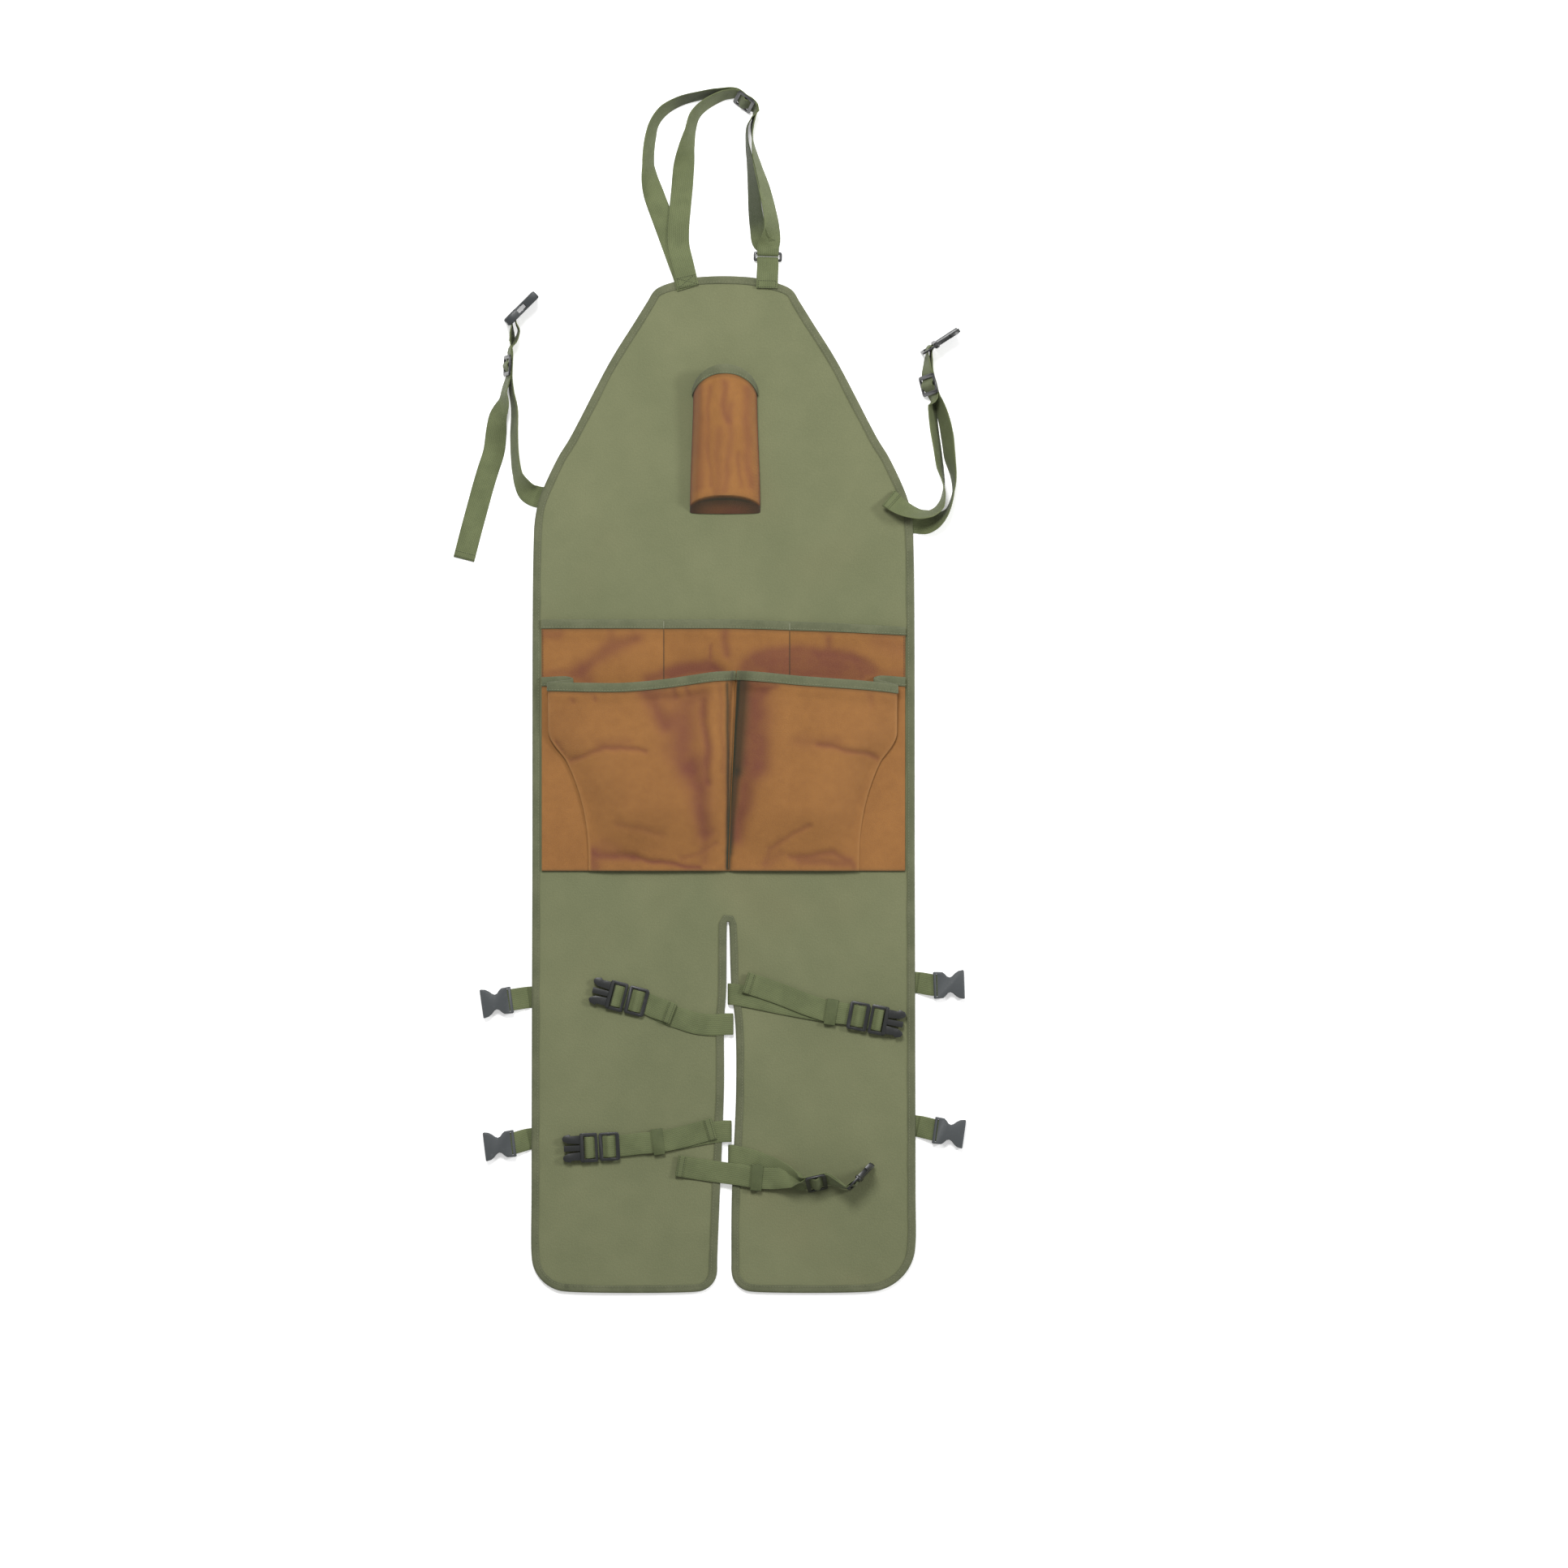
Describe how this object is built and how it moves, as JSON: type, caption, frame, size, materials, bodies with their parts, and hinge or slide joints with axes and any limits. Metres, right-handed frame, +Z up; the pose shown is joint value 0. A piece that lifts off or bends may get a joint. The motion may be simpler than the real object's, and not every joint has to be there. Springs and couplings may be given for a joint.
{
  "type": "gardening apron",
  "caption": "Split-leg gardening apron laid flat, with bib, chest pocket, pleated front pockets over a wide pocket row, and webbing straps with quick-release buckles.",
  "frame": {"origin": "on the floor below the panel's centre line, half way down its length", "axes": "+Y towards the neck, +Z up off the floor out of the apron's front, +X to the right in the front view"},
  "size_m": [0.5968, 1.3991, 0.0397],
  "materials": {
    "canvas": "matt canvas",
    "tape": "matt woven tape",
    "pocket_cloth": "matt twill",
    "webbing": "ribbed woven webbing",
    "buckle_plastic": "fine satin"
  },
  "bodies": {
    "root": {"apron_panel": "canvas", "edge_binding": "tape", "rear_pocket": "pocket_cloth", "rear_pocket_binding": "tape", "chest_pocket": "pocket_cloth", "chest_pocket_binding": "tape", "front_pocket_left": "pocket_cloth", "front_pocket_binding_left": "tape", "front_pocket_right": "pocket_cloth", "front_pocket_binding_right": "tape", "neck_slider": "buckle_plastic", "neck_ring": "buckle_plastic", "neck_strap": "webbing", "neck_tab": "webbing", "waist_slider_left": "buckle_plastic", "waist_socket": "buckle_plastic", "waist_strap_left": "webbing", "waist_slider_right": "buckle_plastic", "waist_plug": "buckle_plastic", "waist_strap_right": "webbing", "leg_socket_upper_left": "buckle_plastic", "leg_tab_upper_left": "webbing", "leg_socket_upper_right": "buckle_plastic", "leg_tab_upper_right": "webbing", "leg_socket_lower_left": "buckle_plastic", "leg_tab_lower_left": "webbing", "leg_socket_lower_right": "buckle_plastic", "leg_tab_lower_right": "webbing", "leg_slider_upper_left": "buckle_plastic", "leg_plug_upper_left": "buckle_plastic", "leg_strap_upper_left": "webbing", "leg_slider_upper_right": "buckle_plastic", "leg_plug_upper_right": "buckle_plastic", "leg_strap_upper_right": "webbing", "leg_keeper_upper_right": "webbing", "leg_slider_lower_left": "buckle_plastic", "leg_plug_lower_left": "buckle_plastic", "leg_strap_lower_left": "webbing", "leg_keeper_lower_left": "webbing", "leg_slider_lower_right": "buckle_plastic", "leg_plug_lower_right": "buckle_plastic", "leg_strap_lower_right": "webbing", "leg_keeper_lower_right": "webbing"}
  },
  "joints": []
}
